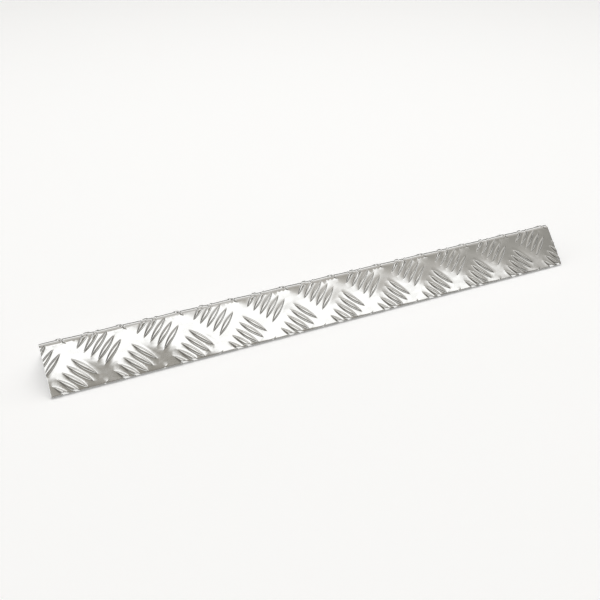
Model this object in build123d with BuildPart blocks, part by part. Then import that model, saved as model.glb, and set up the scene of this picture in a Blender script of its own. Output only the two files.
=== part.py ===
"""Edge angle bent from five-bar aluminium tread plate.

One strip of tread plate is bent once along its length, to a right angle with
the raised bars outside, and stands like a small roof on its two free edges.

Units are millimetres. X runs along the ridge and Z points up. The origin lies
midway along the angle, midway between the free edges and on the floor.

The bars are laid out on the flat strip, as they were rolled before it was
bent. On that flat strip a place is (x, w), where w is the distance from the
bend line along the neutral fibre, and is positive on the front leg.
"""
import os
from math import asin, ceil, cos, radians, sin, sqrt, tan

from build123d import *

# Driving dimensions of the bent strip
length = 500.0
leg_width = 44.0
sheet_thickness = 2.5
inner_bend_radius = 1.5
bend_angle = 90.0
neutral_fibre_share = 0.42

# Driving dimensions of one raised bar
bar_length = 24.7
bar_width = 4.0
bar_height = 0.9
bar_flank_width = 1.1
sides_per_arc = 6

# Driving dimensions of the five-bar pattern
bars_per_group = 5
bar_step = 6.3
group_step = 23.85
first_group_beyond_end = 3.6
front_group_from_corner = 11.6

# The strip is made this much too large all round, then trimmed
trim_overrun = 6.0

# A bar over the bend is lofted through sections, and sunk a little into the sheet
stations_over_bend = 5
stations_along_bar = 5
least_station_gap = 0.6
tip_inset = 0.15
bar_sink = 0.3
flank_share = 0.42

# Sizes of the bend
half_bend = radians(bend_angle / 2)
outer_bend_radius = inner_bend_radius + sheet_thickness
bend_setback = outer_bend_radius * tan(half_bend)
half_bend_allowance = half_bend * (inner_bend_radius + neutral_fibre_share * sheet_thickness)
half_strip = half_bend_allowance + leg_width - bend_setback
corner_height = leg_width * sin(half_bend) + sheet_thickness * cos(half_bend)
bend_centre_height = corner_height - outer_bend_radius / cos(half_bend)

# Sizes of the bars and of their pattern, whose groups lie square to each other and turned to the ridge
bar_turn = 45.0
diagonal = cos(radians(bar_turn))
arc_radius = (bar_length**2 + bar_width**2) / (4 * bar_width)
arc_offset = arc_radius - bar_width / 2
bar_reach = diagonal * bar_length / 2
first_group_x = -length / 2 - first_group_beyond_end
front_group_w = half_bend_allowance + front_group_from_corner - bend_setback


def bar_places():
    """List each bar that shows on the strip as (x, w, lean), lean 1 for / and -1 for a backslash."""
    columns = ceil(length / group_step) + 2
    rows = ceil(half_strip / group_step) + 1
    places = []
    for row in range(-rows, rows + 1):
        for column in range(-1, columns):
            if (row + column) % 2:
                continue
            lean = -1 if row % 2 else 1
            for bar in range(bars_per_group):
                across = diagonal * bar_step * (bar - (bars_per_group - 1) / 2)
                x = first_group_x + column * group_step + across
                w = front_group_w + row * group_step + lean * across
                if abs(x) < length / 2 + bar_reach and abs(w) < half_strip + bar_reach:
                    places.append((x, w, lean))
    return places


def crosses_bend(w):
    """Tell whether a bar with its centre at w reaches into the bend."""
    return abs(w) < half_bend_allowance + bar_reach


def leg_plane(w):
    """Give the outer face of the leg that holds w, as a plane at the sharp corner."""
    outward = (0, -sin(half_bend) if w > 0 else sin(half_bend), cos(half_bend))
    return Plane(origin=(0, 0, corner_height), x_dir=(1, 0, 0), z_dir=outward)


def leg_location(x, w, lean):
    """Place a bar of the flat strip on the plane of its leg."""
    from_corner = abs(w) - half_bend_allowance + bend_setback
    return Location((x, -from_corner if w > 0 else from_corner), lean * bar_turn)


def strip_plane(w):
    """Give the plane square across the bent strip at w, with its origin on the outer face."""
    side = 1 if w > 0 else -1
    beyond = max(abs(w) - half_bend_allowance, 0)
    turn = half_bend * min(abs(w) / half_bend_allowance, 1)
    y = -side * (outer_bend_radius * sin(turn) + beyond * cos(half_bend))
    z = bend_centre_height + outer_bend_radius * cos(turn) - beyond * sin(half_bend)
    return Plane(origin=(0, y, z), x_dir=(1, 0, 0), z_dir=(0, -cos(turn), -side * sin(turn)))


def outline_x(along_w, lean, side):
    """Give how far a bar's long side is from its centre in x, at along_w from its centre in w."""
    shift = -lean * along_w / diagonal
    to_arc_centre = side * arc_offset - shift
    along_bar = (side * sqrt(2 * arc_radius**2 - to_arc_centre**2) - to_arc_centre) / 2
    return diagonal * (2 * along_bar - shift)


def stations(w_centre):
    """List where a bar over the bend gets its sections, from one tip to the other."""
    low = w_centre - bar_reach
    high = w_centre + bar_reach
    chosen = []
    for index in range(stations_over_bend):
        w = half_bend_allowance * (2 * index / (stations_over_bend - 1) - 1)
        if low + least_station_gap < w < high - least_station_gap:
            chosen.append(w)
    for index in range(stations_along_bar + 1):
        w = low + tip_inset + (high - low - 2 * tip_inset) * index / stations_along_bar
        if abs(w) > half_bend_allowance + least_station_gap or index in (0, stations_along_bar):
            chosen.append(w)
    return sorted(chosen)


def bar_outline():
    """List the corners of a bar's outline, two arcs of a few straight sides that meet in points."""
    tip_angle = asin(bar_length / 2 / arc_radius)
    corners = []
    for side in (1, -1):
        for index in range(sides_per_arc):
            angle = side * tip_angle * (2 * index / sides_per_arc - 1)
            corners.append((arc_radius * sin(angle), side * (arc_radius * cos(angle) - arc_offset)))
    return corners


def bar_over_bend(x, w_centre, lean):
    """Make a bar that follows the strip over the bend."""
    flank = bar_flank_width / diagonal
    sink_width = bar_sink * flank / bar_height
    with BuildPart() as bar:
        sections = []
        for w in stations(w_centre):
            left = x + outline_x(w - w_centre, lean, -1)
            right = x + outline_x(w - w_centre, lean, 1)
            inset = min(flank, flank_share * (right - left))
            top = bar_height * inset / flank
            with BuildSketch(strip_plane(w)) as section:
                Polygon(
                    (left - sink_width, -bar_sink),
                    (right + sink_width, -bar_sink),
                    (right - inset, top),
                    (left + inset, top),
                    align=None,
                )
            sections.append(section.sketch)
        loft(sections=sections, ruled=True)
    return bar.part


# A bar on a flat leg, with flanks that slope in all round to a narrower top
with BuildPart() as flat_bar:
    with BuildSketch(Plane.XY.offset(-bar_sink)):
        Polygon(*bar_outline(), align=None)
    extrude(amount=bar_sink + bar_height)
    bar_top = flat_bar.faces().sort_by(Axis.Z)[-1]
    chamfer(bar_top.edges(), length=bar_flank_width, length2=bar_height, reference=bar_top)

places = bar_places()
bent_bars = [bar_over_bend(*place) for place in places if crosses_bend(place[1])]

with BuildPart() as tread_angle:
    # The bent sheet, too long and too wide
    stock_leg = leg_width + trim_overrun
    run = stock_leg * cos(half_bend)
    fall = stock_leg * sin(half_bend)
    inward = sheet_thickness * sin(half_bend)
    downward = sheet_thickness * cos(half_bend)
    with BuildSketch(Plane.YZ) as stock_section:
        Polygon(
            (0, corner_height),
            (-run, corner_height - fall),
            (-run + inward, corner_height - fall - downward),
            (0, corner_height - sheet_thickness / cos(half_bend)),
            (run - inward, corner_height - fall - downward),
            (run, corner_height - fall),
            align=None,
        )
        for radius in (outer_bend_radius, inner_bend_radius):
            on_the_fold = stock_section.vertices().group_by(lambda corner: abs(corner.X))[0]
            fillet(on_the_fold.sort_by(Axis.Y)[-1], radius)
    extrude(amount=length / 2 + trim_overrun, both=True)

    # The bars that lie on one flat leg
    flat_places = [place for place in places if not crosses_bend(place[1])]
    with Locations(*[leg_plane(w).location * leg_location(x, w, lean) for x, w, lean in flat_places]):
        add(flat_bar.part)

    # The bars that run over the bend
    add(bent_bars)

    # Trimmed square to its length, and square across each leg to its width
    edge_depth = leg_width / tan(half_bend) + bar_height + trim_overrun
    edge_meeting_height = corner_height - leg_width / sin(half_bend)
    edge_side = edge_depth * sin(half_bend)
    edge_height = edge_meeting_height + edge_depth * cos(half_bend)
    with BuildSketch(Plane.YZ):
        Polygon(
            (0, edge_meeting_height),
            (edge_side, edge_height),
            (0, corner_height + leg_width),
            (-edge_side, edge_height),
            align=None,
        )
    extrude(amount=length / 2, both=True, mode=Mode.INTERSECT)

tread_angle.part.label = "tread_angle"
os.makedirs("parts", exist_ok=True)
export_step(tread_angle.part, "parts/tread_angle.step")
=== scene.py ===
"""Dress an edge angle bent from five-bar aluminium tread plate.

The strip is modelled flat, as it was rolled. One square tile with a group of
bars is made once and laid out like basket weave, and the strip is then cut to
size, given its thickness and bent over its middle line. On the flat strip X
runs along the angle, Y across it towards the back leg, and Z is the height
above the rolled face. All lengths are metres.
"""
import logging
import math
from dataclasses import dataclass, field
from enum import Enum

import bmesh
import bpy
from mathutils import Euler, Matrix, Vector


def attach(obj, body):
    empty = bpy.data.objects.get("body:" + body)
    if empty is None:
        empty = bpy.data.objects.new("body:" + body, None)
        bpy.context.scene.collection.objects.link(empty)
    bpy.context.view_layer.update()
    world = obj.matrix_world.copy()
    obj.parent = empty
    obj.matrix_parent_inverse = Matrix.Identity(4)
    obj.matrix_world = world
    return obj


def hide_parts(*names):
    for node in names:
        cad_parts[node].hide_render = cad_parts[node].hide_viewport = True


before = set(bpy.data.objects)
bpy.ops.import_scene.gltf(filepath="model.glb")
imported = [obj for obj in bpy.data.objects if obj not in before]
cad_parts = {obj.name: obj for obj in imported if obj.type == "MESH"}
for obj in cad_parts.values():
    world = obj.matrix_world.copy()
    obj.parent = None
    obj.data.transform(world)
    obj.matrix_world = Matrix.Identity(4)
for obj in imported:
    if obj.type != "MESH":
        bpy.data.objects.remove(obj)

Color = tuple[float, float, float, float]
Span = tuple[float, float]
Grain = tuple[float, float, float]
Socket = bpy.types.NodeSocket

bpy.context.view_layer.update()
MM = 0.001
NOISE_DETAIL = 2.0
NODE = "tread_angle"
BODY = "root"

logging.basicConfig(level=logging.INFO, format="%(name)s: %(message)s")
log = logging.getLogger("tread_angle")


class Lean(Enum):
    """The way a group of bars leans, as the turn of its tile."""

    RISING = math.radians(45.0)
    FALLING = math.radians(-45.0)


class Skin(Enum):
    """The kinds of surface on the strip, as material indices."""

    ROLLED = 0
    SHEARED = 1
    INNER = 2


@dataclass(frozen=True)
class Bend:
    """The strip's single bend, and the map from the flat strip to the bent one.

    The neutral fibre keeps its length, so a place on the flat strip is turned
    by its distance from the middle line along that fibre.
    """

    leg: float = 44.0 * MM
    thickness: float = 2.5 * MM
    inner_radius: float = 1.5 * MM
    half_turn: float = math.radians(45.0)
    neutral_share: float = 0.42

    @property
    def outer_radius(self) -> float:
        """Radius of the rolled face over the bend."""
        return self.inner_radius + self.thickness

    @property
    def half_allowance(self) -> float:
        """Half the bend's length along the neutral fibre."""
        return self.half_turn * (self.inner_radius + self.neutral_share * self.thickness)

    @property
    def setback(self) -> float:
        """Distance from the sharp outer corner to the end of the bend."""
        return self.outer_radius * math.tan(self.half_turn)

    @property
    def half_strip(self) -> float:
        """Half the flat strip's width."""
        return self.half_allowance + self.leg - self.setback

    @property
    def centre_height(self) -> float:
        """Height of the bend's centre above the floor."""
        corner = self.leg * math.sin(self.half_turn) + self.thickness * math.cos(self.half_turn)
        return corner - self.outer_radius / math.cos(self.half_turn)

    def place(self, flat: Vector) -> Vector:
        """Map a point of the flat strip to the bent strip.

        Args:
            flat: The point on the flat strip.

        Returns:
            The same point of metal on the bent strip.
        """
        side = 1.0 if flat.y > 0 else -1.0
        beyond = max(abs(flat.y) - self.half_allowance, 0.0)
        turn = self.half_turn * min(abs(flat.y) / self.half_allowance, 1.0)
        radius = self.outer_radius + flat.z
        across = radius * math.sin(turn) + beyond * math.cos(self.half_turn)
        height = self.centre_height + radius * math.cos(turn) - beyond * math.sin(self.half_turn)
        return Vector((flat.x, side * across, height))


@dataclass(frozen=True)
class Waviness:
    """The slight unevenness that rolling and bending leave in the rolled face.

    The waves repeat with the groups of bars. Heights are taken square to the
    strip, and tilts are slopes that die away from the bend or from a free edge.
    Each phase says where along its period a wave starts.
    """

    period: float = 47.7 * MM
    start_x: float = -253.6 * MM
    start_y: float = -9.6 * MM
    falling_crests: float = 0.061 * MM
    rising_crests: float = 0.026 * MM
    rising_phase: float = math.radians(45.0)
    along: float = 0.023 * MM
    along_phase: float = math.radians(65.0)
    across: float = 0.018 * MM
    bend_reach: float = 6.0 * MM
    bend_tilt: float = math.radians(-1.0)
    bend_swing: float = math.radians(1.9)
    edge_reach: float = 3.0 * MM
    edge_tilt: float = math.radians(-1.2)
    edge_swing: float = math.radians(1.9)
    edge_phase: float = math.radians(45.0)
    share_on_bars: float = 0.15

    def height(self, x: float, y: float, half_strip: float) -> float:
        """Give the height of the waves at a place of the flat strip.

        Args:
            x: The place along the strip.
            y: The place across it.
            half_strip: Half the strip's width.

        Returns:
            The height above the even face.
        """
        turn = 2.0 * math.pi / self.period
        u = turn * (x - self.start_x)
        v = -turn * (y - self.start_y)
        rolled = -self.falling_crests * math.sin(u - v)
        rolled -= self.rising_crests * math.cos(u + v - self.rising_phase)
        rolled -= self.along * math.cos(2.0 * u - self.along_phase)
        rolled -= self.across * math.cos(2.0 * v)
        inward = abs(y)
        bend = self.bend_reach * math.exp(-inward / self.bend_reach)
        edge = self.edge_reach * math.exp((inward - half_strip) / self.edge_reach)
        bent = bend * (self.bend_tilt + self.bend_swing * math.sin(u))
        sheared = edge * (self.edge_tilt + self.edge_swing * math.cos(u - self.edge_phase))
        return rolled + bent + sheared


@dataclass(frozen=True)
class RaisedBar:
    """One raised bar of the tread, extruded ring by ring from its lens-shaped outline.

    Each ring has its own height and its own inset from the outline, below 0
    where the bar's foot runs out onto the sheet. The tip tolerance is how far
    off the middle line a corner of the first round ring still counts as a tip.
    """

    length: float = 24.7 * MM
    width: float = 4.0 * MM
    segments: int = 28
    insets: tuple[float, ...] = (
        -0.50 * MM, -0.18 * MM, 0.05 * MM, 0.20 * MM, 0.38 * MM, 0.57 * MM, 0.76 * MM, 1.00 * MM, 1.60 * MM,
    )
    heights: tuple[float, ...] = (
        0.0, 0.012 * MM, 0.038 * MM, 0.105 * MM, 0.225 * MM, 0.337 * MM, 0.412 * MM, 0.452 * MM, 0.474 * MM,
    )
    drop_at_tips: float = 0.45
    tip_tolerance: float = 1e-4

    @property
    def arc_radius(self) -> float:
        """Radius of each long side."""
        return (self.length**2 + self.width**2) / (4.0 * self.width)

    def ring_place(self, along_share: float, side: float, inset: float, height: float) -> Vector:
        """Give a point of the ring that lies inset from the outline.

        Args:
            along_share: The place along the bar, from -1 at one tip to 1 at the other.
            side: 1 or -1 for the two long sides, and 0 at a tip.
            inset: The distance in from the outline, square to it.
            height: The ring's height above the rolled face.

        Returns:
            The point, with the bar along X and its middle at the origin.
        """
        offset = self.arc_radius - self.width / 2.0
        radius = self.arc_radius - inset
        along = along_share * math.sqrt(radius**2 - offset**2)
        sideways = side * max(math.sqrt(radius**2 - along**2) - offset, 0.0)
        return Vector((along, sideways, height))

    def build(self, bm: bmesh.types.BMesh, across: float) -> None:
        """Add the bar to a tile, open at its foot.

        Args:
            bm: The tile's mesh.
            across: The distance of the bar from the tile's middle.
        """
        along_layer = bm.verts.layers.float["along"]
        side_layer = bm.verts.layers.float["side"]
        relief_layer = bm.verts.layers.float["relief"]
        place_layer = bm.verts.layers.float_vector["bar_place"]
        ring = bmesh.ops.create_circle(bm, cap_ends=True, segments=self.segments, radius=1.0)["verts"]
        for vert in ring:
            vert[along_layer] = math.asin(max(-1.0, min(1.0, vert.co.x))) * 2.0 / math.pi
            vert[side_layer] = 0.0 if abs(vert.co.y) < self.tip_tolerance else math.copysign(1.0, vert.co.y)
        cap = ring[0].link_faces[0]
        top = self.heights[-1]
        for inset, height in zip(self.insets, self.heights):
            if inset != self.insets[0]:
                cap = bmesh.ops.extrude_discrete_faces(bm, faces=[cap])["faces"][0]
            for vert in cap.verts:
                place = self.ring_place(vert[along_layer], vert[side_layer], inset, height)
                place.z *= 1.0 - self.drop_at_tips * (2.0 * place.x / self.length) ** 2
                place.y += across
                vert.co = place
                vert[relief_layer] = height / top
                vert[place_layer] = vert.co


@dataclass(frozen=True)
class Tile:
    """A square of the rolled face with one group of bars."""

    bar: RaisedBar = field(default_factory=RaisedBar)
    bars: int = 5
    bar_step: float = 6.3 * MM
    side: float = 23.85 * MM * math.sqrt(2.0)
    segments: int = 16
    cells_beyond_tips: int = 1

    def build(self) -> bpy.types.Mesh:
        """Make the tile, with its bars along X.

        Returns:
            The tile as a mesh to lay out.
        """
        bm = bmesh.new()
        for name in ("along", "side", "relief"):
            bm.verts.layers.float.new(name)
        bm.verts.layers.float_vector.new("bar_place")
        cell = self.side / self.segments
        half = self.side / 2.0
        tips_line = half - self.cells_beyond_tips * cell
        bmesh.ops.create_grid(bm, x_segments=self.segments, y_segments=self.segments, size=half)
        inner = [v for v in bm.verts if abs(v.co.x) < tips_line - cell / 2.0 and not v.is_boundary]
        bmesh.ops.delete(bm, geom=inner, context="VERTS")
        for index in range(self.bars):
            self.bar.build(bm, self.bar_step * (index - (self.bars - 1) / 2.0))
        rims = []
        for edge in bm.edges:
            middle = abs(edge.verts[0].co.x + edge.verts[1].co.x) / 2.0
            if len(edge.link_faces) < 2 and middle < tips_line + cell / 4.0:
                rims.append(edge)
        bmesh.ops.triangle_fill(bm, use_beauty=True, use_dissolve=False, edges=rims, normal=(0.0, 0.0, 1.0))
        mesh = bpy.data.meshes.new("tile")
        bm.to_mesh(mesh)
        bm.free()
        return mesh


@dataclass(frozen=True)
class TreadStrip:
    """The tread plate strip, laid out flat and then bent.

    Cuts are the distances from a rim at which lines are scored, and a reach
    says how far from a rim or from the middle line something goes. The edge
    crush and the rise over the bend are shares of a bar's height.
    """

    bend: Bend = field(default_factory=Bend)
    tile: Tile = field(default_factory=Tile)
    waviness: Waviness = field(default_factory=Waviness)
    length: float = 500.0 * MM
    group_step: float = 23.85 * MM
    first_group_beyond_end: float = 3.6 * MM
    front_group_from_corner: float = 11.6 * MM
    spare_groups: int = 2
    bend_cuts: int = 11
    edge_cuts: tuple[float, ...] = (
        1.9 * MM, 1.2 * MM, 0.60 * MM, 0.40 * MM, 0.25 * MM, 0.13 * MM, 0.04 * MM,
    )
    edge_reach: float = 0.60 * MM
    edge_drop: float = 0.22 * MM
    crush_reach: float = 1.9 * MM
    edge_crush: float = 2.5
    end_cuts: tuple[float, ...] = (0.8 * MM, 0.5 * MM, 0.28 * MM, 0.12 * MM, 0.04 * MM)
    end_reach: float = 0.8 * MM
    end_drop: float = 0.28 * MM
    rise_over_bend: float = 0.7
    rise_reach: float = 3.0 * MM
    weld: float = 0.004 * MM
    cut_tolerance: float = 0.0001 * MM

    def places(self) -> list[tuple[float, float, Lean]]:
        """List each tile's middle on the flat strip and its lean.

        Returns:
            The X, the Y and the lean of each tile that reaches onto the strip.
        """
        front_group = -(self.bend.half_allowance + self.front_group_from_corner - self.bend.setback)
        columns = math.ceil(self.length / self.group_step) + self.spare_groups
        rows = math.ceil(self.bend.half_strip / self.group_step) + self.spare_groups
        reach = self.group_step
        found = []
        for row in range(-rows, rows + 1):
            for column in range(-self.spare_groups, columns):
                x = -self.length / 2.0 - self.first_group_beyond_end + column * self.group_step
                y = front_group - row * self.group_step
                inside = abs(x) < self.length / 2.0 + reach and abs(y) < self.bend.half_strip + reach
                if (row + column) % 2 == 0 and inside:
                    found.append((x, y, Lean.FALLING if row % 2 else Lean.RISING))
        return found

    def lay_out(self) -> bmesh.types.BMesh:
        """Lay the tiles side by side and weld them.

        Returns:
            The rolled face, larger than the strip all round.
        """
        tile = self.tile.build()
        bm = bmesh.new()
        for x, y, lean in self.places():
            count = len(bm.verts)
            bm.from_mesh(tile)
            bm.verts.ensure_lookup_table()
            move = Matrix.Translation((x, y, 0.0)) @ Matrix.Rotation(lean.value, 4, "Z")
            bmesh.ops.transform(bm, matrix=move, verts=bm.verts[count:])
        rim = [vert for vert in bm.verts if vert.is_boundary]
        bmesh.ops.remove_doubles(bm, verts=rim, dist=self.weld)
        return bm

    def cut(self, bm: bmesh.types.BMesh, place: Vector, normal: Vector, clear: bool) -> None:
        """Cut the strip along a plane.

        Args:
            bm: The strip's mesh.
            place: A point on the plane.
            normal: The plane's normal.
            clear: Whether what lies beyond the plane is taken off.
        """
        geom = bm.verts[:] + bm.edges[:] + bm.faces[:]
        bmesh.ops.bisect_plane(
            bm, geom=geom, dist=self.cut_tolerance, plane_co=place, plane_no=normal,
            clear_outer=clear, clear_inner=False,
        )

    def trim(self, bm: bmesh.types.BMesh) -> None:
        """Trim the rolled face to the strip's length and width.

        Args:
            bm: The strip's mesh.
        """
        for side in (-1.0, 1.0):
            self.cut(bm, Vector((side * self.length / 2.0, 0.0, 0.0)), Vector((side, 0.0, 0.0)), True)
            self.cut(bm, Vector((0.0, side * self.bend.half_strip, 0.0)), Vector((0.0, side, 0.0)), True)

    def thicken(self, bm: bmesh.types.BMesh) -> None:
        """Give the strip its cut edges and its inner face.

        Args:
            bm: The strip's mesh.
        """
        skin_layer = bm.faces.layers.int.new("skin")
        rim = [edge for edge in bm.edges if edge.is_boundary]
        walls = bmesh.ops.extrude_edge_only(bm, edges=rim)["geom"]
        foot = [item for item in walls if isinstance(item, bmesh.types.BMEdge)]
        for vert in {vert for edge in foot for vert in edge.verts}:
            vert.co.z = -self.bend.thickness
        for face in [item for item in walls if isinstance(item, bmesh.types.BMFace)]:
            face[skin_layer] = Skin.SHEARED.value
        for face in bmesh.ops.edgeloop_fill(bm, edges=foot)["faces"]:
            face[skin_layer] = Skin.INNER.value

    def score(self, bm: bmesh.types.BMesh) -> None:
        """Cut lines across the faces where the strip bends and where its rims round off.

        Args:
            bm: The strip's mesh.
        """
        for index in range(self.bend_cuts):
            y = self.bend.half_allowance * (2.0 * index / (self.bend_cuts - 1) - 1.0)
            self.cut(bm, Vector((0.0, y, 0.0)), Vector((0.0, 1.0, 0.0)), False)
        for side in (-1.0, 1.0):
            for inset in self.edge_cuts:
                y = side * (self.bend.half_strip - inset)
                self.cut(bm, Vector((0.0, y, 0.0)), Vector((0.0, 1.0, 0.0)), False)
            for inset in self.end_cuts:
                x = side * (self.length / 2.0 - inset)
                self.cut(bm, Vector((x, 0.0, 0.0)), Vector((1.0, 0.0, 0.0)), False)

    def rounding(self, inset: float, reach: float) -> float:
        """Give a rim's rounding, a quarter of an ellipse.

        Args:
            inset: The distance from the rim.
            reach: Where the rounding starts.

        Returns:
            The share of the rim's drop, 0 where the rounding starts and 1 at the rim.
        """
        share = min(max(1.0 - inset / reach, 0.0), 1.0)
        return 1.0 - math.sqrt(1.0 - share**2)

    def worked_height(self, flat: Vector) -> float:
        """Give the height of a point of the rolled face once the strip is rolled, sheared and sawn.

        Args:
            flat: The point on an even strip with sharp rims.

        Returns:
            The height with the waves, the rolled-over rims and the bars crushed at the sheared edges.
        """
        from_edge = self.bend.half_strip - abs(flat.y)
        edge_share = self.rounding(from_edge, self.edge_reach)
        end_share = self.rounding(self.length / 2.0 - abs(flat.x), self.end_reach)
        crush = self.edge_crush * max(1.0 - from_edge / self.crush_reach, 0.0)
        rise = self.rise_over_bend * math.exp(-((flat.y / self.rise_reach) ** 2))
        bar = flat.z * (1.0 + rise - crush)
        on_bar = flat.z / self.tile.bar.heights[-1]
        waves = self.waviness.height(flat.x, flat.y, self.bend.half_strip)
        waves *= 1.0 - (1.0 - self.waviness.share_on_bars) * on_bar
        return bar + waves - self.edge_drop * edge_share - self.end_drop * end_share

    def fold(self, bm: bmesh.types.BMesh) -> None:
        """Make the rolled face uneven and bend the strip over its middle line.

        Args:
            bm: The strip's mesh.
        """
        flat_layer = bm.verts.layers.float_vector.new("flat_place")
        for vert in bm.verts:
            vert[flat_layer] = vert.co
            if vert.co.z > -self.bend.thickness / 2.0:
                vert.co.z = self.worked_height(vert.co)
            vert.co = self.bend.place(vert.co)

    def build(self, materials: list[bpy.types.Material]) -> bpy.types.Object:
        """Make the finished strip.

        Args:
            materials: The materials, in the order of the kinds of surface.

        Returns:
            The strip as an object.
        """
        bm = self.lay_out()
        self.trim(bm)
        self.thicken(bm)
        self.score(bm)
        self.fold(bm)
        bmesh.ops.recalc_face_normals(bm, faces=bm.faces)
        skin_layer = bm.faces.layers.int["skin"]
        for face in bm.faces:
            face.smooth = True
            face.material_index = face[skin_layer]
        for edge in bm.edges:
            kinds = {face.material_index for face in edge.link_faces}
            edge.smooth = len(kinds) == 1
        bmesh.ops.triangulate(bm, faces=[face for face in bm.faces if len(face.verts) > 4])
        mesh = bpy.data.meshes.new("tread_strip")
        bm.to_mesh(mesh)
        bm.free()
        for material in materials:
            mesh.materials.append(material)
        piece = bpy.data.objects.new("tread_strip", mesh)
        bpy.context.scene.collection.objects.link(piece)
        return piece


class Graph:
    """A short way to write the sums of a node tree."""

    def __init__(self, tree: bpy.types.NodeTree) -> None:
        """Work on a node tree.

        Args:
            tree: The node tree that the nodes are added to.
        """
        self.tree = tree

    def feed(self, socket: Socket, value: object) -> None:
        """Link a socket to an input, or set the input to a plain value.

        Args:
            socket: The input.
            value: The socket or the plain value that it gets.
        """
        if isinstance(value, Socket):
            self.tree.links.new(value, socket)
        else:
            socket.default_value = value

    def math(self, operation: str, *values: object) -> Socket:
        """Add a Math node.

        Args:
            operation: The node's operation.
            values: Its inputs, in order.

        Returns:
            Its result.
        """
        node = self.tree.nodes.new("ShaderNodeMath")
        node.operation = operation
        for socket, value in zip(node.inputs, values):
            self.feed(socket, value)
        return node.outputs[0]

    def step(self, value: Socket, low: float, high: float) -> Socket:
        """Rise smoothly from 0 to 1.

        Args:
            value: The value that is compared.
            low: Where the step is 0.
            high: Where the step is 1, which may be below low for a step that falls.

        Returns:
            The step.
        """
        node = self.tree.nodes.new("ShaderNodeMapRange")
        node.interpolation_type = "SMOOTHSTEP"
        self.feed(node.inputs["Value"], value)
        self.feed(node.inputs["From Min"], low)
        self.feed(node.inputs["From Max"], high)
        return node.outputs["Result"]

    def blend(self, share: Socket, first: object, second: object) -> Socket:
        """Mix two colours by a share.

        Args:
            share: The share of the second colour.
            first: The colour at 0.
            second: The colour at 1.

        Returns:
            The mixed colour.
        """
        node = self.tree.nodes.new("ShaderNodeMix")
        node.data_type = "RGBA"
        colors = [socket for socket in node.inputs if socket.type == "RGBA"]
        self.feed(node.inputs[0], share)
        self.feed(colors[0], first)
        self.feed(colors[1], second)
        return [socket for socket in node.outputs if socket.type == "RGBA"][0]

    def attribute(self, name: str) -> bpy.types.Node:
        """Read one of the piece's own attributes.

        Args:
            name: The attribute's name.

        Returns:
            The node, with the attribute as a vector and as a value.
        """
        node = self.tree.nodes.new("ShaderNodeAttribute")
        node.attribute_name = name
        return node

    def noise(self, place: Socket, grain: Grain) -> Socket:
        """Add a noise with its own grain size each way.

        Args:
            place: The place that the noise is read at.
            grain: The size of the grain along X, Y and Z.

        Returns:
            The noise, from about 0.2 to 0.8.
        """
        mapping = self.tree.nodes.new("ShaderNodeMapping")
        mapping.vector_type = "TEXTURE"
        mapping.inputs["Scale"].default_value = grain
        self.feed(mapping.inputs["Vector"], place)
        node = self.tree.nodes.new("ShaderNodeTexNoise")
        node.inputs["Scale"].default_value = 1.0
        node.inputs["Detail"].default_value = NOISE_DETAIL
        self.feed(node.inputs["Vector"], mapping.outputs["Vector"])
        return node.outputs[0]


@dataclass(frozen=True)
class MillMarks:
    """The fine drawn-out marks that rolls and blades leave, as a node group."""

    name: str = "mill_marks"
    coarse: Grain = (4.5 * MM, 3.0 * MM, 3.0 * MM)
    fine: Grain = (1.6 * MM, 0.28 * MM, 0.28 * MM)
    fine_share: float = 0.12
    smudge: Grain = (14.0 * MM, 7.0 * MM, 7.0 * MM)
    smudge_span: Span = (0.40, 0.65)

    def build(self) -> bpy.types.NodeTree:
        """Make the node group.

        Returns:
            The group, with a place as input, and a height and a mask of dull spots as outputs.
        """
        group = bpy.data.node_groups.new(self.name, "ShaderNodeTree")
        group.interface.new_socket("Place", in_out="INPUT", socket_type="NodeSocketVector")
        group.interface.new_socket("Height", in_out="OUTPUT", socket_type="NodeSocketFloat")
        group.interface.new_socket("Dullness", in_out="OUTPUT", socket_type="NodeSocketFloat")
        graph = Graph(group)
        place = group.nodes.new("NodeGroupInput").outputs["Place"]
        ends = group.nodes.new("NodeGroupOutput").inputs
        fine = graph.noise(place, self.fine)
        coarse = graph.noise(place, self.coarse)
        graph.feed(ends["Height"], graph.math("MULTIPLY_ADD", fine, self.fine_share, coarse))
        smudges = graph.step(graph.noise(place, self.smudge), *self.smudge_span)
        graph.feed(ends["Dullness"], graph.math("MULTIPLY", smudges, fine))
        return group

    def place_in(self, graph: Graph, group: bpy.types.NodeTree, place: Socket) -> bpy.types.Node:
        """Use the group in a material.

        Args:
            graph: The material's graph.
            group: The node group.
            place: The place that the marks follow, drawn out along its X.

        Returns:
            The group's node.
        """
        node = graph.tree.nodes.new("ShaderNodeGroup")
        node.node_tree = group
        graph.feed(node.inputs["Place"], place)
        return node


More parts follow.
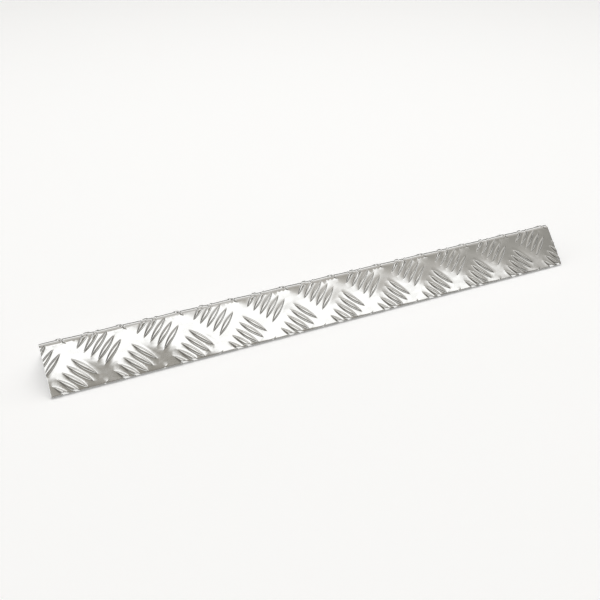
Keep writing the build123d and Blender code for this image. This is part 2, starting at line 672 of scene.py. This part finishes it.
@dataclass(frozen=True)
class RolledFinish:
    """The bright finish that the rolls leave on the tread, a little duller on the bars.

    The bar span gives the share of a bar's height where its own marks start
    and where they are full.
    """

    name: str = "rolled_aluminium"
    bright: Color = (0.90, 0.90, 0.89, 1.0)
    dull: Color = (0.80, 0.80, 0.79, 1.0)
    roughness: float = 0.045
    bar_roughness: float = 0.03
    dull_roughness: float = 0.06
    mark_depth: float = 0.0045 * MM
    bar_mark_depth: float = 0.0045 * MM
    bar_span: Span = (0.5, 0.95)

    def build(self, marks: MillMarks, group: bpy.types.NodeTree) -> bpy.types.Material:
        """Make the material.

        Args:
            marks: The mill marks.
            group: Their node group.

        Returns:
            The material.
        """
        material = bpy.data.materials.new(self.name)
        material.use_nodes = True
        graph = Graph(material.node_tree)
        shader = material.node_tree.nodes["Principled BSDF"]
        sheet_place = graph.attribute("flat_place").outputs["Vector"]
        bar_place = graph.attribute("bar_place").outputs["Vector"]
        on_bar = graph.step(graph.attribute("relief").outputs["Fac"], *self.bar_span)
        sheet = marks.place_in(graph, group, sheet_place)
        bar = marks.place_in(graph, group, bar_place)
        bar_marks = graph.math("MULTIPLY", bar.outputs["Height"], on_bar)
        bar_height = graph.math("MULTIPLY", bar_marks, self.bar_mark_depth)
        height = graph.math("MULTIPLY_ADD", sheet.outputs["Height"], self.mark_depth, bar_height)
        bump = material.node_tree.nodes.new("ShaderNodeBump")
        bump.inputs["Distance"].default_value = 1.0
        graph.feed(bump.inputs["Height"], height)
        graph.feed(shader.inputs["Normal"], bump.outputs["Normal"])
        dullness = sheet.outputs["Dullness"]
        rough = graph.math("MULTIPLY_ADD", dullness, self.dull_roughness, self.roughness)
        rough = graph.math("MULTIPLY_ADD", on_bar, self.bar_roughness, rough)
        graph.feed(shader.inputs["Roughness"], rough)
        graph.feed(shader.inputs["Base Color"], graph.blend(dullness, self.bright, self.dull))
        shader.inputs["Metallic"].default_value = 1.0
        return material


@dataclass(frozen=True)
class BareFinish:
    """A plainer metal surface with drawn-out marks, for the inner face and the cut walls."""

    name: str
    place: str
    bright: Color
    dull: Color
    roughness: float
    dull_roughness: float
    mark_depth: float

    def build(self, marks: MillMarks, group: bpy.types.NodeTree) -> bpy.types.Material:
        """Make the material.

        Args:
            marks: The mill marks.
            group: Their node group.

        Returns:
            The material.
        """
        material = bpy.data.materials.new(self.name)
        material.use_nodes = True
        graph = Graph(material.node_tree)
        shader = material.node_tree.nodes["Principled BSDF"]
        node = marks.place_in(graph, group, graph.attribute(self.place).outputs["Vector"])
        bump = material.node_tree.nodes.new("ShaderNodeBump")
        bump.inputs["Distance"].default_value = 1.0
        graph.feed(bump.inputs["Height"], graph.math("MULTIPLY", node.outputs["Height"], self.mark_depth))
        graph.feed(shader.inputs["Normal"], bump.outputs["Normal"])
        rough = graph.math("MULTIPLY_ADD", node.outputs["Dullness"], self.dull_roughness, self.roughness)
        graph.feed(shader.inputs["Roughness"], rough)
        color = graph.blend(node.outputs["Dullness"], self.bright, self.dull)
        graph.feed(shader.inputs["Base Color"], color)
        shader.inputs["Metallic"].default_value = 1.0
        return material


@dataclass(frozen=True)
class Surroundings:
    """The surroundings that the metal mirrors.

    A direction is taken as a place on a level ceiling, over_x to the right and
    over_y to the back, as shares of the ceiling's height. A line is a slope and
    an offset there. A span says where a soft edge starts and where it is full,
    and it falls where its second value is the smaller one.

    A long bright band crosses the ceiling between a far line and a near edge.
    Behind the far line the ceiling is grey, with one pale panel, and it leads
    to a second band and a back wall. In front of the near edge all is grey,
    and dim lower down. Low down all round is the pale backdrop.
    """

    band: Color = (1.20, 1.20, 1.19, 1.0)
    ceiling: Color = (0.420, 0.400, 0.365, 1.0)
    right_ceiling: Color = (0.335, 0.325, 0.300, 1.0)
    band_border: Color = (0.560, 0.540, 0.510, 1.0)
    high_ceiling: Color = (0.500, 0.480, 0.450, 1.0)
    panel: Color = (0.78, 0.77, 0.75, 1.0)
    pale_ceiling: Color = (0.60, 0.59, 0.57, 1.0)
    back_wall: Color = (0.42, 0.41, 0.39, 1.0)
    left_wall: Color = (0.15, 0.145, 0.135, 1.0)
    low_back: Color = (0.11, 0.11, 0.105, 1.0)
    front_ceiling: Color = (0.350, 0.333, 0.302, 1.0)
    front_wall: Color = (0.285, 0.272, 0.243, 1.0)
    dim_front: Color = (0.13, 0.125, 0.115, 1.0)
    backdrop: Color = (0.69, 0.69, 0.675, 1.0)
    least_rise: float = 0.02
    far_line: Span = (-0.205, -0.590)
    far_line_span: Span = (-0.035, 0.035)
    right_ceiling_span: Span = (0.45, 0.85)
    band_border_span: Span = (-0.02, 0.11)
    high_ceiling_span: Span = (0.18, 0.36)
    panel_left_span: Span = (0.08, 0.15)
    panel_right_span: Span = (0.36, 0.26)
    panel_back_span: Span = (-0.24, -0.34)
    pale_ceiling_span: Span = (-0.10, 0.02)
    back_line: Span = (-0.220, 0.600)
    back_line_span: Span = (-0.035, 0.035)
    back_wall_span: Span = (0.38, 0.48)
    left_wall_right_span: Span = (-0.02, -0.14)
    left_wall_left_span: Span = (-0.80, -0.65)
    left_wall_back_span: Span = (0.26, 0.14)
    low_back_depth_span: Span = (0.45, 0.65)
    low_back_height_span: Span = (0.58, 0.46)
    near_edge: float = -0.747
    near_edge_retreat: float = -0.070
    near_edge_retreat_span: Span = (0.20, 0.32)
    near_edge_span: Span = (0.024, -0.024)
    front_wall_span: Span = (-0.02, -0.09)
    dim_front_depth_span: Span = (0.04, -0.22)
    dim_front_height_span: Span = (0.66, 0.45)
    left_end_span: Span = (-0.74, -0.86)
    backdrop_span: Span = (0.21, 0.13)

    def behind_line(self, graph: Graph, over_x: Socket, over_y: Socket, line: Span) -> Socket:
        """Measure how far a place on the ceiling lies behind a line.

        Args:
            graph: The world's graph.
            over_x: The place to the right.
            over_y: The place to the back.
            line: The line's slope and offset.

        Returns:
            The distance, below 0 in front of the line.
        """
        return graph.math("SUBTRACT", over_y, graph.math("MULTIPLY_ADD", over_x, *line))

    def overlap(self, graph: Graph, *steps: Socket) -> Socket:
        """Multiply steps, which gives 1 where all of them are 1.

        Args:
            graph: The world's graph.
            steps: The steps.

        Returns:
            Their product.
        """
        product = steps[0]
        for step in steps[1:]:
            product = graph.math("MULTIPLY", product, step)
        return product

    def far_ceiling(self, graph: Graph, over_x: Socket, over_y: Socket, behind_far: Socket) -> Socket:
        """Colour the ceiling and the walls behind the far line.

        Args:
            graph: The world's graph.
            over_x: The place to the right.
            over_y: The place to the back.
            behind_far: The distance behind the far line.

        Returns:
            The colour.
        """
        color = graph.blend(graph.step(over_x, *self.right_ceiling_span), self.ceiling, self.right_ceiling)
        color = graph.blend(graph.step(behind_far, *self.band_border_span), self.band_border, color)
        color = graph.blend(graph.step(behind_far, *self.high_ceiling_span), color, self.high_ceiling)
        panel = self.overlap(
            graph,
            graph.step(over_x, *self.panel_left_span),
            graph.step(over_x, *self.panel_right_span),
            graph.step(over_y, *self.panel_back_span),
        )
        color = graph.blend(panel, color, self.panel)
        color = graph.blend(graph.step(over_y, *self.pale_ceiling_span), color, self.pale_ceiling)
        behind_back = self.behind_line(graph, over_x, over_y, self.back_line)
        color = graph.blend(graph.step(behind_back, *self.back_line_span), color, self.band)
        color = graph.blend(graph.step(behind_back, *self.back_wall_span), color, self.back_wall)
        left_wall = self.overlap(
            graph,
            graph.step(over_x, *self.left_wall_right_span),
            graph.step(over_x, *self.left_wall_left_span),
            graph.step(over_y, *self.left_wall_back_span),
        )
        return graph.blend(left_wall, color, self.left_wall)

    def front(self, graph: Graph, over_x: Socket, over_y: Socket, color: Socket) -> Socket:
        """Colour the ceiling and the wall in front of the near edge.

        Args:
            graph: The world's graph.
            over_x: The place to the right.
            over_y: The place to the back.
            color: The colour behind the near edge.

        Returns:
            The colour on both sides of the near edge.
        """
        retreat = graph.step(over_x, *self.near_edge_retreat_span)
        near_edge = graph.math("MULTIPLY_ADD", retreat, self.near_edge_retreat, self.near_edge)
        behind_near = graph.math("SUBTRACT", over_y, near_edge)
        front_wall = graph.step(behind_near, *self.front_wall_span)
        front = graph.blend(front_wall, self.front_ceiling, self.front_wall)
        return graph.blend(graph.step(behind_near, *self.near_edge_span), color, front)

    def build(self) -> None:
        """Make the world."""
        world = bpy.data.worlds.new("surroundings")
        world.use_nodes = True
        tree = world.node_tree
        graph = Graph(tree)
        split = tree.nodes.new("ShaderNodeSeparateXYZ")
        graph.feed(split.inputs[0], tree.nodes.new("ShaderNodeTexCoord").outputs["Generated"])
        x, y, z = split.outputs
        rise = graph.math("MAXIMUM", z, self.least_rise)
        over_x = graph.math("DIVIDE", x, rise)
        over_y = graph.math("DIVIDE", y, rise)
        behind_far = self.behind_line(graph, over_x, over_y, self.far_line)
        color = self.far_ceiling(graph, over_x, over_y, behind_far)
        low_back = self.overlap(
            graph,
            graph.step(y, *self.low_back_depth_span),
            graph.step(z, *self.low_back_height_span),
        )
        color = graph.blend(low_back, color, self.low_back)
        color = graph.blend(graph.step(behind_far, *self.far_line_span), self.band, color)
        color = self.front(graph, over_x, over_y, color)
        dim_front = self.overlap(
            graph,
            graph.step(y, *self.dim_front_depth_span),
            graph.step(z, *self.dim_front_height_span),
        )
        color = graph.blend(dim_front, color, self.dim_front)
        color = graph.blend(graph.step(x, *self.left_end_span), color, self.panel)
        color = graph.blend(graph.step(z, *self.backdrop_span), color, self.backdrop)
        graph.feed(tree.nodes["Background"].inputs["Color"], color)
        bpy.context.scene.world = world


@dataclass(frozen=True)
class Studio:
    """The floor, the light, the surroundings and the camera.

    The camera's focal length is given in pixels of its square frame.
    """

    surroundings: Surroundings = field(default_factory=Surroundings)
    floor_size: float = 12.0
    floor_color: Color = (0.84, 0.84, 0.84, 1.0)
    floor_roughness: float = 0.9
    glow_color: Color = (1.0, 1.0, 1.0, 1.0)
    floor_glow: float = 0.26
    lamp_place: tuple[float, float, float] = (0.2, 0.4, 2.2)
    lamp_size: float = 2.4
    lamp_power: float = 21.0
    camera_place: tuple[float, float, float] = (-0.24767, -0.48693, 0.35681)
    camera_pitch: float = math.radians(57.295)
    camera_yaw: float = math.radians(-24.406)
    nearest: float = 0.01
    sensor: float = 36.0
    frame_pixels: float = 600.0
    focal_pixels: float = 705.5

    def floor(self) -> None:
        """Lay the pale floor, which glows a little where the camera or the metal sees it."""
        bm = bmesh.new()
        bmesh.ops.create_grid(bm, x_segments=1, y_segments=1, size=self.floor_size / 2.0)
        mesh = bpy.data.meshes.new("floor")
        bm.to_mesh(mesh)
        bm.free()
        floor = bpy.data.objects.new("floor", mesh)
        bpy.context.scene.collection.objects.link(floor)
        material = bpy.data.materials.new("pale_floor")
        material.use_nodes = True
        tree = material.node_tree
        shader = tree.nodes["Principled BSDF"]
        shader.inputs["Base Color"].default_value = self.floor_color
        shader.inputs["Roughness"].default_value = self.floor_roughness
        shader.inputs["Specular IOR Level"].default_value = 0.0
        shader.inputs["Emission Color"].default_value = self.glow_color
        graph = Graph(tree)
        path = tree.nodes.new("ShaderNodeLightPath").outputs
        seen = graph.math("MAXIMUM", path["Is Camera Ray"], path["Is Glossy Ray"])
        graph.feed(shader.inputs["Emission Strength"], graph.math("MULTIPLY", seen, self.floor_glow))
        mesh.materials.append(material)

    def lamp(self) -> None:
        """Hang a large soft lamp behind the angle, which the metal doesn't mirror."""
        data = bpy.data.lights.new("soft_lamp", "AREA")
        data.shape = "DISK"
        data.size = self.lamp_size
        data.energy = self.lamp_power
        lamp = bpy.data.objects.new("soft_lamp", data)
        lamp.location = self.lamp_place
        lamp.rotation_euler = Vector(self.lamp_place).to_track_quat("Z", "Y").to_euler()
        lamp.visible_glossy = False
        lamp.visible_camera = False
        bpy.context.scene.collection.objects.link(lamp)

    def camera(self) -> None:
        """Stand the camera where the photograph was taken."""
        data = bpy.data.cameras.new("camera")
        data.lens = self.focal_pixels / self.frame_pixels * self.sensor
        data.sensor_width = self.sensor
        data.clip_start = self.nearest
        camera = bpy.data.objects.new("camera", data)
        camera.location = self.camera_place
        camera.rotation_euler = Euler((self.camera_pitch, 0.0, self.camera_yaw))
        bpy.context.scene.collection.objects.link(camera)
        bpy.context.scene.camera = camera

    def build(self) -> None:
        """Set up the whole studio."""
        self.floor()
        self.lamp()
        self.surroundings.build()
        self.camera()
        bpy.context.scene.view_settings.view_transform = "Standard"


def main() -> None:
    """Build the studio and the strip, and report the strip's triangles."""
    Studio().build()
    marks = MillMarks()
    group = marks.build()
    rolled = RolledFinish()
    # The cut walls' base colour is painted shade: far darker than aluminium, it stands in for the floor's
    # contact shadow that these walls mirror.
    sheared = BareFinish(
        name="sheared_aluminium_painted_shade", place="flat_place",
        bright=(0.26, 0.26, 0.25, 1.0), dull=(0.15, 0.15, 0.14, 1.0),
        roughness=0.34, dull_roughness=0.20, mark_depth=0.004 * MM,
    )
    inner = BareFinish(
        name="inner_aluminium", place="flat_place",
        bright=(0.82, 0.82, 0.81, 1.0), dull=(0.70, 0.70, 0.69, 1.0),
        roughness=0.24, dull_roughness=0.22, mark_depth=0.002 * MM,
    )
    finishes = {Skin.ROLLED: rolled, Skin.SHEARED: sheared, Skin.INNER: inner}
    strip = TreadStrip().build([finishes[skin].build(marks, group) for skin in Skin])
    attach(strip, BODY)
    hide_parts(NODE)
    strip.data.calc_loop_triangles()
    log.info("tread strip: %d triangles", len(strip.data.loop_triangles))


if __name__ == "__main__":
    main()
